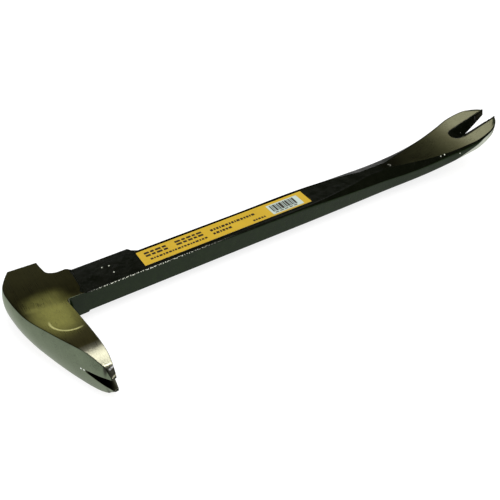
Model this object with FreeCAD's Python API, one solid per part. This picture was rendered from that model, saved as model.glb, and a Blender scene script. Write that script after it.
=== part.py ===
import FreeCAD, Part
import math
import os
from FreeCAD import Vector

# One-piece forged nail puller and pry bar, taken as 305 mm (12 inches) long, in millimetres.
# Drawing axes: X runs along the shank from the head to the tail tips,
# Y runs across the shank, with the claw at -Y and the striking poll at +Y,
# and Z runs up from the middle plane of the head. finish_place() then moves each
# shape so that the origin is the bottom centre of the whole bar.

# Whole bar
BACK_X = -0.5           # back of the head
TAIL_TIP_X = 304.5      # tips of the tail claw
POLL_FACE_Y = 25.2      # flat striking face
CLAW_TIP_Y = -60.9      # tips of the head claw
CHEEK_MAX = 11.1        # half thickness of the head at its widest

# Shank, painted
SHANK_HALF_W = 7.8      # half width near the head
SHANK_HALF_T = 5.6      # half thickness near the head
SHANK_START = 22.0      # inside the head
PAINT_START = 33.0      # ground steel on the head ends here
PAINT_END = 298.0       # paint runs this far along the edges of the tail claw
UNDERSIDE_BARE = 272.0  # underside of the tail claw is ground beyond here
SIDE_BARE = 275.0       # sides of the tail claw are ground beyond here
PAINT_T = 0.15
STATION_PITCH = 5.0     # between the sections of the bent tail

# Widened neck beside the head
NECK_START = 28.0       # inside the head
NECK_FAR_Y = 12.0
NECK_END = 63.0
NECK_BEVEL = 2.6
NECK_EDGE = 0.6
ROOT_PAINT_Z = 6.3      # half height of the paint on the side of the head's root

# Head in plan: back of the head from the poll corner to the claw tip
HEAD_BACK = [(7.2, 25.2), (3.8, 19.5), (1.5, 14.5), (0.8, 10.0), (1.1, 4.5), (2.3, -4.5),
             (4.6, -14.0), (8.2, -24.0), (12.6, -35.0), (17.8, -46.7), (21.3, -55.0),
             (23.9, -60.2)]
# Head in plan: inner face of the claw from the tip to the shank
HEAD_INNER = [(25.5, -59.6), (26.2, -53.0), (26.1, -45.0), (25.6, -35.0), (25.0, -25.0),
              (24.5, -15.0), (24.2, -9.6)]
HEAD_TIP_X = 24.9
HEAD_CROWN = 1.3        # how far the back of the head bulges at mid thickness
BACK_STEPS = 14         # stations along the back of the head
BACK_OVERRUN = 6.0      # how far its surface runs past each end
BACK_MIN_T = 7.0        # keeps the crown gentle at the claw tips
POLL_NECK = [(21.0, 25.2), (21.7, 19.0), (22.9, 14.6), (26.0, 12.8), (31.6, 12.8)]
HEAD_END = 32.8         # step down from the ground cheeks to the painted shank
ROOT_RADIUS = 1.8       # corner between the shank and the claw
POLL_EDGE = 0.7         # bevel round the striking face

# Half thickness of the head, from the poll to the claw tip
CHEEK_Y = [30.0, 22.0, 14.0, 6.0, -2.0, -10.0, -18.0, -26.0, -34.0, -41.0, -47.0,
           -51.0, -55.0, -58.0, -61.0, -64.0]
CHEEK_T = [7.4, 7.6, 7.8, 7.9, 7.9, 7.9, 8.6, 9.5, 10.3, 10.87, 11.05,
           10.4, 9.0, 7.4, 5.0, 2.0]
CHEEK_TAPER = 1.5       # how much thinner the cheek is where it meets the shank
CHEEK_TAPER_Y = (-26.0, -4.0)

# Nail slot in the head claw
HEAD_SLOT_END = -47.0
HEAD_SLOT_ROOT = 1.0    # half width at its closed end
HEAD_SLOT_MOUTH = 3.4   # half width at the tips, on the back face
HEAD_SLOT_FLARE = 0.9   # extra half width on the inner face
HEAD_SLOT_X = (8.0, 34.0)  # the cut runs between these, past both faces

# Shank and tail sections: X, then half width of the top flat, half width of the side,
# height of the top flat, of the upper and lower edges of the side and of the bottom,
# then half width of the bottom flat
STRAIGHT = [(22.0, 7.55, 7.8, 5.6, 5.35, -5.3, -5.6, 7.5),
            (70.0, 7.55, 7.8, 5.6, 5.35, -5.3, -5.6, 7.5),
            (120.0, 7.45, 8.1, 5.6, 5.0, -5.1, -5.6, 7.5),
            (175.0, 7.2, 8.6, 5.6, 4.2, -4.7, -5.6, 7.6)]
TAIL = [(175.0, 7.2, 8.6, 5.6, 4.2, -4.7, -5.6, 7.6),
        (198.0, 4.4, 8.7, 5.7, 3.6, -4.4, -5.4, 7.6),
        (219.0, 0.8, 9.0, 5.8, 3.1, -4.0, -5.0, 7.6),
        (230.0, 4.2, 9.7, 5.8, 2.9, -3.4, -4.7, 7.9),
        (240.0, 6.4, 10.3, 5.9, 3.1, -2.8, -4.3, 8.3),
        (250.0, 8.5, 11.0, 6.1, 3.7, -1.8, -3.6, 9.0),
        (262.0, 10.7, 12.1, 7.0, 5.2, 0.2, -1.8, 10.3),
        (275.0, 12.9, 14.0, 9.1, 7.6, 3.4, 1.7, 12.3),
        (285.0, 14.5, 15.3, 11.5, 10.4, 6.3, 4.8, 13.4),
        (295.0, 15.4, 16.0, 14.1, 13.5, 9.9, 8.9, 14.4),
        (307.0, 15.4, 16.0, 17.1, 16.9, 14.7, 14.3, 15.0)]
# Rounded plan of one tail tine, from the shank side to the tip
TAIL_PLAN = [(274.0, 17.2), (280.0, 15.2), (286.0, 14.9), (291.0, 14.2), (296.0, 12.8),
             (300.0, 10.3), (302.8, 7.5), (304.5, 4.9)]
TONGUE_START = 220.0    # the ground upper face of the tail starts here
TONGUE_DEPTH = 0.02

# Nail slot in the tail, a round ended trough on top that narrows to a V underneath:
# X of its closed end, radius of that end, and half width at TAIL_MOUTH_X
SLOT_TOP = (274.2, 4.2, 4.7)
SLOT_BASE = (285.5, 0.5, 3.9)
TAIL_MOUTH_X = 305.0
SLOT_LEVELS = (0.0, 0.06, 0.25, 0.56, 1.0)  # shares of the height of its wall
SLOT_PLACES = (0.0, 0.02, 0.07, 0.16, 0.3, 0.45, 0.7, 1.0)  # shares of its blind part
SLOT_PITCH = 2.5        # between its sections beyond the blind part
SLOT_FLOOR = 0.02       # half width of the bottom of the blind part
SLOT_OVERCUT = 2.0      # how far the cut runs above the top face
SLOT_UNDERCUT = 0.3     # and below the underside

# Label, from the outside in
LABEL_X = (65.3, 165.3)
LABEL_Y = (-5.4, 5.8)
ADHESIVE_T = 0.05
FILM_T = 0.10
INK_T = 0.03
BARCODE_X = (141.2, 161.0)
BARCODE_Y = (-4.4, 3.9)

# Far enough to pass right through the bar
REACH = 60.0


def finish_place(shape):
    """Moves a shape from the drawing axes to the part frame."""
    moved = shape.copy()
    middle = Vector((BACK_X + TAIL_TIP_X) / 2, (POLL_FACE_Y + CLAW_TIP_Y) / 2, -CHEEK_MAX)
    moved.translate(-middle)
    return moved


def spline(points):
    curve = Part.BSplineCurve()
    curve.interpolate([Vector(x, y, 0) for x, y in points])
    return curve.toShape()


def line(start, end):
    return Part.makeLine(Vector(*start, 0), Vector(*end, 0))


def prism(edges, low, high):
    """Solid between two heights with a closed outline in plan."""
    wire = Part.Wire(Part.__sortEdges__(edges))
    face = Part.Face(wire)
    face.translate(Vector(0, 0, low))
    return face.extrude(Vector(0, 0, high - low))


def polygon_prism(points, low, high):
    edges = [line(points[i - 1], points[i]) for i in range(len(points))]
    return prism(edges, low, high)


def box(x, y, z):
    size = [x[1] - x[0], y[1] - y[0], z[1] - z[0]]
    return Part.makeBox(*size, Vector(x[0], y[0], z[0]))


def section(station, grow):
    """Eight-sided outline of the shank at one station, grown by a paint thickness."""
    x, flat, side, top, shoulder, hip, bottom, base = station
    corner = grow * 0.4
    half = [(flat + corner, top + grow), (side + grow, shoulder + corner),
            (side + grow, hip - corner), (base + corner, bottom - grow)]
    ring = half + [(-y, z) for y, z in reversed(half)]
    points = [Vector(x, y, z) for y, z in ring]
    return Part.makePolygon(points + points[:1])


def slope(stations, index):
    """Rate of change of each size at a station, with X; level at both ends."""
    if index == 0 or index == len(stations) - 1:
        return [0.0 for _ in stations[index]]
    before, after = stations[index - 1], stations[index + 1]
    return [(b - a) / (after[0] - before[0]) for a, b in zip(before, after)]


def between(stations, index, t):
    """Station a share t of the way from one given station to the next, on a smooth curve."""
    start, end = stations[index], stations[index + 1]
    span = end[0] - start[0]
    leave, arrive = slope(stations, index), slope(stations, index + 1)
    sizes = [(1 + 2 * t) * (1 - t) ** 2 * a + t * (1 - t) ** 2 * span * m
             + t * t * (3 - 2 * t) * b - t * t * (1 - t) * span * n
             for a, b, m, n in zip(start, end, leave, arrive)]
    return [start[0] + span * t] + sizes[1:]


def resample(stations):
    """Stations at an even pitch, on a smooth curve through the given ones."""
    fine = []
    for index in range(len(stations) - 1):
        count = max(1, round((stations[index + 1][0] - stations[index][0]) / STATION_PITCH))
        fine += [between(stations, index, step / count) for step in range(count)]
    return fine + [list(stations[-1])]


def shank(grow=0.0):
    """Straight shank and the tail that bends up from it."""
    straight = Part.makeLoft([section(s, grow) for s in STRAIGHT], True, True)
    tail = Part.makeLoft([section(s, grow) for s in resample(TAIL)], True, True)
    return straight.fuse(tail)


def neck(start, grow=0.0):
    """Wide part of the shank behind the striking poll."""
    far = NECK_FAR_Y + grow
    end = NECK_END + grow
    points = [(start, 0.0), (start, far), (end, far), (end + NECK_BEVEL, SHANK_HALF_W + grow),
              (end + NECK_BEVEL, 0.0)]
    block = polygon_prism(points, -SHANK_HALF_T - grow, SHANK_HALF_T + grow)
    edges = [e for e in block.Edges if e.CenterOfMass.y > far - 0.01
             and abs(e.CenterOfMass.z) > SHANK_HALF_T - 0.01 and e.Length > 5.0]
    return block.makeChamfer(NECK_EDGE, edges)


def head_plan():
    """Head seen from above, as a prism through its whole thickness."""
    tip = (HEAD_TIP_X, CLAW_TIP_Y)
    turn = SHANK_HALF_W + ROOT_RADIUS
    root = (HEAD_INNER[-1][0] + ROOT_RADIUS, -SHANK_HALF_W)
    middle = (root[0] - ROOT_RADIUS * math.sin(math.pi / 4),
              -turn + ROOT_RADIUS * math.cos(math.pi / 4))
    arc = Part.Arc(Vector(*HEAD_INNER[-1], 0), Vector(*middle, 0), Vector(*root, 0))
    far_end = (HEAD_END, NECK_FAR_Y)
    clear = -10.0
    edges = [line((clear, CLAW_TIP_Y), tip), line(tip, HEAD_INNER[0]),
             spline(HEAD_INNER), arc.toShape(), line(root, (HEAD_END, root[1])),
             line((HEAD_END, root[1]), far_end), line(far_end, POLL_NECK[-1]),
             spline(POLL_NECK), line(POLL_NECK[0], (clear, POLL_FACE_Y)),
             line((clear, POLL_FACE_Y), (clear, CLAW_TIP_Y))]
    return prism(edges, -CHEEK_MAX - 2, CHEEK_MAX + 2)


def half_thickness(y):
    """Half thickness of the head at its back edge."""
    for index in range(1, len(CHEEK_Y)):
        if y >= CHEEK_Y[index]:
            share = (y - CHEEK_Y[index]) / (CHEEK_Y[index - 1] - CHEEK_Y[index])
            return CHEEK_T[index] + share * (CHEEK_T[index - 1] - CHEEK_T[index])
    return CHEEK_T[-1]


def inside_back():
    """Everything on the shank's side of the crowned back of the head."""
    curve = spline(HEAD_BACK).Curve
    first, last = curve.FirstParameter, curve.LastParameter
    grid = []
    for step in range(-1, BACK_STEPS + 2):
        at = first + (last - first) * min(max(step / BACK_STEPS, 0.0), 1.0)
        along = curve.tangent(at)[0]
        out = Vector(along.y, -along.x, 0)
        point = curve.value(at)
        if step < 0 or step > BACK_STEPS:
            point = point + along * math.copysign(BACK_OVERRUN, step)
        thick = max(half_thickness(point.y), BACK_MIN_T)
        row = []
        for z in (-12.0, -8.0, -4.0, 0.0, 4.0, 8.0, 12.0):
            row.append(point + out * HEAD_CROWN * (1 - (z / thick) ** 2) + Vector(0, 0, z))
        grid.append(row)
    surface = Part.BSplineSurface()
    surface.interpolate(grid)
    return surface.toShape().extrude(Vector(REACH, 0, 0))


def cheek_height(x, y, thick):
    """Half thickness of the head; it falls away toward the shank."""
    low, high = CHEEK_TAPER_Y
    blend = min(max((y - low) / (high - low), 0.0), 1.0)
    ease = blend * blend * (3 - 2 * blend)
    return thick - CHEEK_TAPER * ease * max(x, 0.0) / HEAD_END


def below_cheek():
    """Everything under the upper cheek of the head."""
    columns = [-6.0, 4.0, 14.0, 24.0, 34.0, 40.0]
    grid = [[Vector(x, y, cheek_height(x, y, t)) for y, t in zip(CHEEK_Y, CHEEK_T)]
            for x in columns]
    surface = Part.BSplineSurface()
    surface.interpolate(grid)
    return surface.toShape().extrude(Vector(0, 0, -REACH))


def head_slot():
    """V slot for nails, wider on the inner face of the claw."""
    rings = []
    for x, extra in zip(HEAD_SLOT_X, (-HEAD_SLOT_FLARE, HEAD_SLOT_FLARE)):
        root = HEAD_SLOT_ROOT + extra * 0.5
        mouth = HEAD_SLOT_MOUTH + extra * 0.5
        points = [Vector(x, HEAD_SLOT_END, root * 0.6), Vector(x, HEAD_SLOT_END - 1.0, root),
                  Vector(x, CLAW_TIP_Y - 1, mouth), Vector(x, CLAW_TIP_Y - 1, -mouth),
                  Vector(x, HEAD_SLOT_END - 1.0, -root), Vector(x, HEAD_SLOT_END, -root * 0.6)]
        rings.append(Part.makePolygon(points + points[:1]))
    return Part.makeLoft(rings, True, True)


def bevel_poll(head):
    """Small bevel round the striking face."""
    edges = [e for e in head.Edges
             if all(abs(v.Y - POLL_FACE_Y) < 0.01 for v in e.Vertexes)]
    return head.makeChamfer(POLL_EDGE, edges)


def head():
    upper = below_cheek()
    lower = upper.mirror(Vector(0, 0, 0), Vector(0, 0, 1))
    solid = head_plan().common(inside_back()).common(upper).common(lower)
    return bevel_poll(solid).cut(head_slot())


def tail_trim(grow=0.0):
    """Plan of the tail claw, which rounds off its tines."""
    far = spline([(x, y + grow) for x, y in TAIL_PLAN])
    near = spline([(x, -y - grow) for x, y in TAIL_PLAN])
    start = (TAIL_PLAN[0][0], TAIL_PLAN[0][1] + grow)
    tip = (TAIL_PLAN[-1][0], TAIL_PLAN[-1][1] + grow)
    edges = [far, near, line(tip, (tip[0], -tip[1])), line((start[0], -start[1]), (0, -REACH)),
             line((0, -REACH), (0, REACH)), line((0, REACH), start)]
    return prism(edges, -REACH, REACH)


def slot_half(x, share):
    """Half width of the tail's nail slot at X, with share going from its base to its top."""
    end, radius, mouth = [low + (high - low) * share for low, high in zip(SLOT_BASE, SLOT_TOP)]
    middle = end + radius
    if x >= middle:
        return radius + (mouth - radius) * (x - middle) / (TAIL_MOUTH_X - middle)
    return math.sqrt(max(radius ** 2 - (x - middle) ** 2, 0.0))


def tail_faces(x):
    """Heights of the top and the underside of the tail at X."""
    index = max(i for i in range(len(TAIL) - 1) if TAIL[i][0] <= x)
    start, end = TAIL[index][0], TAIL[index + 1][0]
    station = between(TAIL, index, (x - start) / (end - start))
    return station[3], station[6]


def trough_section(x, trim):
    """Outline of the slot's trough across the tail at X."""
    top, bottom = tail_faces(x)
    first = min(max((SLOT_BASE[0] - x) / (SLOT_BASE[0] - SLOT_TOP[0]), 0.0), 1.0)
    half = []
    for level in SLOT_LEVELS:
        share = first + (1.0 - first) * level
        width = max(slot_half(x, share) - trim, SLOT_FLOOR * (1 + level))
        half.append((width, bottom + (top - bottom) * share + trim * (1 - level)))
    if x > SLOT_BASE[0]:
        half[0] = (half[0][0], bottom - SLOT_UNDERCUT)
    half.append((half[-1][0] + SLOT_OVERCUT, top + SLOT_OVERCUT))
    ring = half + [(-y, z) for y, z in reversed(half)]
    points = [Vector(x, y, z) for y, z in ring]
    return Part.makePolygon(points + points[:1])


def tail_slot(trim=0.0):
    """Nail slot in the tail, less a trim all round for the paint that lines it."""
    blind = SLOT_BASE[0] - SLOT_TOP[0]
    places = [SLOT_TOP[0] + blind * share for share in SLOT_PLACES]
    count = round((TAIL_MOUTH_X - SLOT_BASE[0]) / SLOT_PITCH)
    pitch = (TAIL_MOUTH_X - SLOT_BASE[0]) / count
    places += [SLOT_BASE[0] + pitch * (step + 1) for step in range(count)]
    trough = Part.makeLoft([trough_section(x, trim) for x in places], True, True)
    middle, radius = SLOT_BASE[0] + SLOT_BASE[1], SLOT_BASE[1] - trim
    mouth = (TAIL_MOUTH_X, SLOT_BASE[2] - trim)
    below = (mouth[0], -mouth[1])
    arc = Part.Arc(Vector(middle, radius, 0), Vector(middle - radius, 0, 0),
                   Vector(middle, -radius, 0))
    edges = [arc.toShape(), line((middle, radius), mouth), line(mouth, below),
             line(below, (middle, -radius))]
    return trough.fuse(prism(edges, -REACH, REACH))


def bare_space(start, outline):
    """Space beside the tail that carries no paint, from a four-cornered outline."""
    rings = []
    for station in resample(TAIL):
        if station[0] >= start:
            points = [Vector(station[0], y, z) for y, z in outline(station)]
            rings.append(Part.makePolygon(points + points[:1]))
    return Part.makeLoft(rings, True, True)


def over_tongue(station):
    """Above the ground upper face of the tail."""
    flat, top = station[1], station[3] - TONGUE_DEPTH
    return [(flat, top), (flat, REACH), (-flat, REACH), (-flat, top)]


def under_side(station, level):
    """Below one edge of the side of the tail claw, whose underside is ground."""
    side, edge = station[2] + 1.0, station[level]
    return [(side, edge), (side, -REACH), (-side, -REACH), (-side, edge)]


def under_hip(station):
    return under_side(station, 5)


def under_shoulder(station):
    return under_side(station, 4)


def forged_bar():
    """The forging: head, claw, poll, shank and tail claw in one piece of steel."""
    body = shank().common(tail_trim())
    body = body.fuse([neck(NECK_START), head()])
    return body.cut(tail_slot())


def enamel_coat(bar):
    """Black enamel over the neck and shank, up to the ground ends."""
    skin = shank(PAINT_T).common(tail_trim(PAINT_T)).fuse(neck(NECK_START, PAINT_T))
    skin = skin.common(box((PAINT_START, PAINT_END), (-REACH, REACH), (-REACH, REACH)))
    near = SHANK_HALF_W + PAINT_T
    root = HEAD_INNER[-1][0] + ROOT_RADIUS
    side = box((root, PAINT_START), (-near, -SHANK_HALF_W + 0.5), (-ROOT_PAINT_Z, ROOT_PAINT_Z))
    lining = box((SIDE_BARE, TAIL_MOUTH_X), (-SLOT_TOP[2], SLOT_TOP[2]), (-REACH, REACH))
    bare = [bare_space(TONGUE_START, over_tongue), bare_space(UNDERSIDE_BARE, under_hip),
            bare_space(SIDE_BARE, under_shoulder).cut(lining)]
    return skin.fuse(side).cut([bar, tail_slot(PAINT_T)] + bare)


def label_layer(x, y, base, thickness):
    return box(x, y, (base, base + thickness))


def label_print(base):
    """Plain ink marks that stand in for the printed words."""
    rows = [(68.6, [13.0], 1.0, 0.2, 3.8),
            (85.6, [17.0], 1.0, 0.2, 3.8),
            (69.7, [6.0, 5.6, 3.4, 1.2, 6.2, 5.8], 0.9, -2.9, -1.6),
            (105.6, [4.2, 8.2, 6.6, 5.2], 1.6, 0.8, 2.4),
            (105.8, [7.6, 3.6], 1.0, -2.3, -0.7),
            (129.0, [8.0], 1.0, -3.9, -2.5)]
    marks = []
    for start, widths, gap, low, high in rows:
        for width in widths:
            marks.append(label_layer((start, start + width), (low, high), base, INK_T))
            start += width + gap
    return Part.makeCompound(marks)


def barcode_bars(base):
    """Upright bars and the row of short marks under them."""
    x = BARCODE_X[0] + 1.4
    low, high = BARCODE_Y[0] + 2.0, BARCODE_Y[1] - 0.8
    marks = []
    for width in (0.8, 0.4, 1.2, 0.4, 0.8, 1.6, 0.4, 0.8, 1.2, 0.4, 0.8, 0.4, 1.2):
        marks.append(label_layer((x, x + width), (low, high), base, INK_T))
        x += width + 0.42
    foot = BARCODE_Y[0] + 0.7
    for index in range(5):
        start = BARCODE_X[0] + 1.8 + index * 3.0
        marks.append(label_layer((start, start + 2.2), (foot, foot + 0.7), base, INK_T))
    return Part.makeCompound(marks)


def build():
    bar = forged_bar()
    face = SHANK_HALF_T + PAINT_T
    film = face + ADHESIVE_T
    printed = film + FILM_T
    return {
        "forged_bar": bar,
        "enamel_coat": enamel_coat(bar),
        "label_adhesive": label_layer(LABEL_X, LABEL_Y, face, ADHESIVE_T),
        "label_film": label_layer(LABEL_X, LABEL_Y, film, FILM_T),
        "label_print": label_print(printed),
        "barcode_patch": label_layer(BARCODE_X, BARCODE_Y, printed, INK_T),
        "barcode_bars": barcode_bars(printed + INK_T),
    }


os.makedirs("parts", exist_ok=True)
for name, shape in build().items():
    finish_place(shape).exportStep("parts/" + name + ".step")
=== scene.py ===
"""Forged nail puller and pry bar: ground steel ends, black enamel and a yellow label."""
import math

import bmesh
import bpy
import numpy as np
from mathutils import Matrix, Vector


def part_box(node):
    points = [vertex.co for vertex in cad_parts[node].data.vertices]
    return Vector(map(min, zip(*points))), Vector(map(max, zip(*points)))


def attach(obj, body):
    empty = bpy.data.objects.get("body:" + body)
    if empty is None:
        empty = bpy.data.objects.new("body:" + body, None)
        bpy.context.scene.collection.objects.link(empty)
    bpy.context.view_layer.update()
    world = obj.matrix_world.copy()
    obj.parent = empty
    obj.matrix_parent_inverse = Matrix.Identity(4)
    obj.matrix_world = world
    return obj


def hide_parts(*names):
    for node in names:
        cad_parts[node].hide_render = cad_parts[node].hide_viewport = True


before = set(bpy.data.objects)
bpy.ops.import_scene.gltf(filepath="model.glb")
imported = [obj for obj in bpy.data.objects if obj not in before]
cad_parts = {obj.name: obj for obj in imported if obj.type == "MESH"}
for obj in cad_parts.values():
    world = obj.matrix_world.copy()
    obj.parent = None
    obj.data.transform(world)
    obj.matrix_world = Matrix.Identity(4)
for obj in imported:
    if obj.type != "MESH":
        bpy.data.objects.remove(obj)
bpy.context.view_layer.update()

# Sizes are in millimetres on the drawing axes of the part: X runs along the shank from the
# head to the tail tips, Y across it with the claw at -Y, and Z up from the head's mid plane.
MM = 0.001
MERGE_GAP = 0.0006      # points closer than this are one
SLIVER = 0.0003         # edges shorter than this go
POLL_FACE_Y = 25.2
CLAW_TIP_Y = -60.9
TAIL_TIP_X = 304.5
CHEEK_MAX = 11.1

# Where the drawing axes start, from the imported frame
BAR_LOW, BAR_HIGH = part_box("forged_bar")
ORIGIN = np.array([BAR_HIGH.x / MM - TAIL_TIP_X, BAR_HIGH.y / MM - POLL_FACE_Y,
                   BAR_LOW.z / MM + CHEEK_MAX])

# Shank and tail sections: X, then half width of the top flat, half width of the side,
# height of the top flat, of the upper and lower edges of the side and of the bottom,
# then half width of the bottom flat
STATIONS = [(20.0, 7.55, 7.8, 5.6, 5.35, -5.3, -5.6, 7.5),
            (70.0, 7.55, 7.8, 5.6, 5.35, -5.3, -5.6, 7.5),
            (120.0, 7.45, 8.1, 5.6, 5.0, -5.1, -5.6, 7.5),
            (175.0, 7.2, 8.6, 5.6, 4.2, -4.7, -5.6, 7.6),
            (198.0, 4.4, 8.7, 5.7, 3.6, -4.4, -5.4, 7.6),
            (219.0, 0.8, 9.0, 5.8, 3.1, -4.0, -5.0, 7.6),
            (230.0, 4.2, 9.7, 5.8, 2.9, -3.4, -4.7, 7.9),
            (240.0, 6.4, 10.3, 5.9, 3.1, -2.8, -4.3, 8.3),
            (250.0, 8.5, 11.0, 6.1, 3.7, -1.8, -3.6, 9.0),
            (262.0, 10.7, 12.1, 7.0, 5.2, 0.2, -1.8, 10.3),
            (275.0, 12.9, 14.0, 9.1, 7.6, 3.4, 1.7, 12.3),
            (285.0, 14.5, 15.3, 11.5, 10.4, 6.3, 4.8, 13.4),
            (295.0, 15.4, 16.0, 14.1, 13.5, 9.9, 8.9, 14.4),
            (307.0, 15.4, 16.0, 17.1, 16.9, 14.7, 14.3, 15.0)]
NECK = (11.4, 12.0, 5.6, 5.0, -5.0, -5.6, 11.4)
NECK_END = 63.0
NECK_BEVEL = 2.8
TAIL_PLAN = [(274.0, 17.2), (280.0, 15.2), (286.0, 14.9), (291.0, 14.2), (296.0, 12.8),
             (300.0, 10.3), (302.8, 7.5), (304.5, 4.9)]
# Nail slot in the tail, a round ended trough on top that narrows to a V underneath:
# X of its closed end, radius of that end, and half width at X of TAIL_MOUTH_X
SLOT_TOP = (274.2, 4.2, 4.7)
SLOT_BASE = (285.5, 0.5, 3.9)
TAIL_MOUTH_X = 305.0
SHANK_EDGE = 0.55
SLOT_EDGE = 0.7
# Swell of the enamel against the head, added to the sizes of a section: where it ends, the
# length it fades over, and how much
COLLAR_END = 34.1
COLLAR_FADE = 1.1
COLLAR = (0.0, 0.0, 0.55, 0.75, -0.9, -0.75, 0.0)

# Head in plan: back of the head from the claw tip to the poll corner, then the inner side
HEAD_BACK = [(-60.2, 23.9), (-55.0, 21.3), (-46.7, 17.8), (-35.0, 12.6), (-24.0, 8.2),
             (-14.0, 4.6), (-4.5, 2.3), (4.5, 1.1), (10.0, 0.8), (14.5, 1.5), (19.5, 3.8),
             (25.2, 7.2)]
HEAD_INNER = [(24.2, -9.6), (24.5, -15.0), (25.0, -25.0), (25.6, -35.0), (26.1, -45.0),
              (26.2, -53.0), (25.5, -59.6)]
POLL_NECK = [(21.0, 25.2), (21.7, 19.0), (22.9, 14.6), (26.0, 12.8), (31.6, 12.8)]
HEAD_END = 32.8
SHANK_SIDE = 7.8
NECK_SIDE = 12.0
ROOT_RADIUS = 1.8
HEAD_CROWN = 1.3        # how far the back stands out, over at least CROWN_SPAN up and down
CROWN_SPAN = 7.0
HEAD_EDGE = 0.3

# Half thickness of the head, from the claw tip to the poll
CHEEK = [(-64.0, 2.2), (-61.0, 5.0), (-58.0, 7.5), (-55.0, 9.0), (-51.0, 10.4), (-47.0, 11.05),
         (-41.0, 10.87), (-34.0, 10.3), (-26.0, 9.5), (-18.0, 8.6), (-10.0, 7.9), (-2.0, 7.9),
         (6.0, 7.9), (14.0, 7.8), (22.0, 7.6), (30.0, 7.4)]
CHEEK_TAPER = 1.5
CHEEK_TAPER_Y = (-26.0, -4.0)
# Rim of the hollow that the grinding wheel left in each cheek, and the facet at the tip
DISH_RIM = [(1.5, 8.0), (3.5, -4.0), (6.8, -12.0), (10.2, -19.0), (11.8, -24.0), (13.8, -28.0),
            (17.0, -30.5), (20.5, -31.3), (24.0, -31.2), (30.0, -30.8)]
DISH_DEPTH = 0.55
DISH_WIDTH = 5.0
FACET_Y = -56.3
FACET_Z = 8.4
FACET_SLOPE = 1.05

HEAD_SLOT_END = -47.0
HEAD_SLOT_ROOT = 1.0
HEAD_SLOT_MOUTH = 3.4
HEAD_SLOT_FLARE = 0.9
HEAD_SLOT_X = 8.0       # the flare is spread over HEAD_SLOT_SPAN from here
HEAD_SLOT_SPAN = 26.0
SLOT_WEDGE = (HEAD_SLOT_MOUTH - HEAD_SLOT_ROOT) / (HEAD_SLOT_END - CLAW_TIP_Y)

# Enamel
PAINT_T = 0.15
PAINT_DIP = 0.3         # how far bare places of its shell lie under the steel
PAINT_FROM = 24.8
PAINT_TO = 300.0
TONGUE_START = 219.5
UNDERSIDE_BARE = 272.0
SIDE_BARE = 284.0       # on the upper edge of the side; SIDE_SLANT sooner on the lower one
SIDE_SLANT = 16.0
# Painted reflection in the hollow of the cheek, an olive glow: middle and reach. The paler painted
# reflection above it: where it starts, is full, begins to fade and ends. Painted highlight on the
# hollow's lower rim: middle and radius
GLOW_REFLECTION = [(16.5, -16.0), (13.0, 19.0)]
UPPER_REFLECTION_X = (2.0, 13.0, 15.0, 27.0)
UPPER_REFLECTION_Y = (-10.3, -6.6, -5.5, 4.0)
RIM_HIGHLIGHT = [(21.3, -21.5), 9.75]
# Tint of the tongue at its point, then where each later tint begins, is full, and the tint
TONGUE_TINT = (0.014, 0.014, 0.006)
TONGUE_TINTS = [(222.0, 246.0, (0.070, 0.070, 0.031)), (258.0, 276.0, (0.13, 0.125, 0.065)),
                (270.0, 286.0, (0.33, 0.325, 0.20))]
# Painted highlight, a bright ring at the start of the tongue: middle and radius
TONGUE_HIGHLIGHT = [(224.9, -0.5), 0.8]
# Painted shade standing for a bevel round the outer edge of a tail tip: the outer edge's start in
# X, half width there, slope and curvature, then how wide the shaded strip is, full and faded, and
# where in X it begins and is full
TIP_CURVE = (296.0, 12.8, -0.35, -0.068)
TIP_ROOM = (2.0, 3.0)
TIP_X = (295.0, 300.0)
# Painted shade on the walls of the tail's slot and on its near lip: where they begin, are full and
# end
SLOT_SHADE_X, SLOT_SHADE_Y = (284.0, 286.0), (4.7, 5.0)
LIP_SHADE_X, LIP_SHADE_Y = (277.0, 281.0), (-6.4, -5.7, -4.0, -3.0)
# Near upper edge of the shank, where the paint is worn and its bright wear also stands in as a
# painted highlight: its Y and Z, and where the wear starts, is full, begins to fade and ends
WORN_HIGHLIGHT_YZ = (-7.3, 5.5)
WORN_HIGHLIGHT_X = (34.0, 44.0, 66.0, 118.0)
# Painted highlights, white glints round the head slot and on the claw's facet: place and reach
GLINTS = [(13.9, -43.6, 0.1, 0.6), (15.4, -44.4, 0.0, 0.6), (16.3, -46.0, 0.2, 0.6),
          (23.9, -57.6, 7.0, 0.7), (24.8, -57.4, 7.3, 0.8), (25.6, -57.1, 7.6, 0.7)]
# Painted highlights, small bright spots chipped in the paint of the neck, along the tail's near
# chamfer and in its slot
HIGHLIGHT_CHIPS = [(47.0, 4.9, 5.8), (50.4, 4.3, 5.8), (50.6, -1.2, 5.8), (256.7, -10.2, 6.2),
         (259.3, -10.4, 6.7), (269.5, -13.4, 5.6), (283.8, 0.9, 7.2), (284.8, 1.6, 7.6)]

# Print on the label: start and end in X, foot and height in Y, widths of the strokes, the gap
# between them, and how many lie above each other
PRINT_ROWS = [(68.6, 82.0, 0.2, 3.6, [2.6, 1.9, 3.0, 2.2, 2.4], 0.8, 2),
              (85.6, 103.0, 0.2, 3.6, [3.1, 2.0, 2.5, 1.7, 2.9, 2.2], 0.8, 2),
              (69.7, 102.0, -2.9, 1.3, [1.4, 0.8, 1.1, 1.7, 0.9, 1.3] * 6, 0.5, 1),
              (105.6, 134.0, 0.8, 1.6, [1.5, 1.0, 1.3, 0.8, 1.8] * 6, 0.55, 1),
              (105.8, 118.0, -2.3, 1.6, [1.2, 1.7, 0.9, 1.4] * 4, 0.55, 1),
              (129.0, 137.0, -3.9, 1.4, [1.2, 0.9, 1.4] * 3, 0.5, 1)]
TIER_STEP = 1.6         # from one to the next, in heights of a stroke
BLOCK_FACES = [(3, 2, 1, 0), (4, 5, 6, 7), (0, 1, 5, 4), (1, 2, 6, 5), (2, 3, 7, 6), (3, 0, 4, 7)]


# ---------------------------------------------------------------- shapes

def ease(share):
    share = np.clip(share, 0.0, 1.0)
    return share * share * (3.0 - 2.0 * share)


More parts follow.
